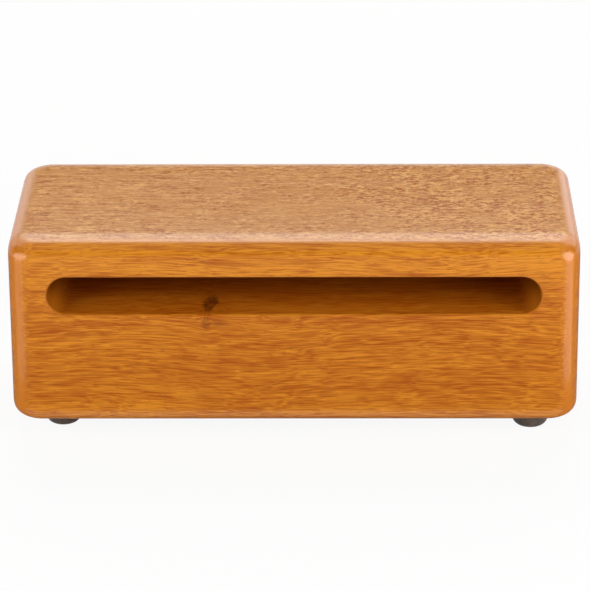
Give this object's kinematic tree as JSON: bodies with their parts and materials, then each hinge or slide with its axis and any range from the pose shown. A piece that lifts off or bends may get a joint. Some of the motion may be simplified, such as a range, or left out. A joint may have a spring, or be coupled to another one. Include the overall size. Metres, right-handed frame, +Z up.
{
  "type": "woodblock",
  "caption": "Solid hardwood woodblock with rounded edges and a long blind sound slot milled into its front, standing on domed rubber feet.",
  "frame": {"origin": "under the middle of the block, on the plane that the feet stand on", "axes": "+X along the block to the player's right, +Y to the back, away from the slot's mouth, +Z up"},
  "size_m": [0.203, 0.0886, 0.076],
  "materials": {
    "lacquered_hardwood": "clear semi-gloss lacquer over hand-sanded hardwood",
    "foot_rubber": "moulded, slightly glossy",
    "foot_adhesive": "clear acrylic adhesive film"
  },
  "bodies": {
    "root": {"block": "lacquered_hardwood", "front_left_foot": "foot_rubber", "front_right_foot": "foot_rubber", "rear_left_foot": "foot_rubber", "rear_right_foot": "foot_rubber", "front_left_foot_adhesive": "foot_adhesive", "front_right_foot_adhesive": "foot_adhesive", "rear_left_foot_adhesive": "foot_adhesive", "rear_right_foot_adhesive": "foot_adhesive"}
  },
  "joints": []
}
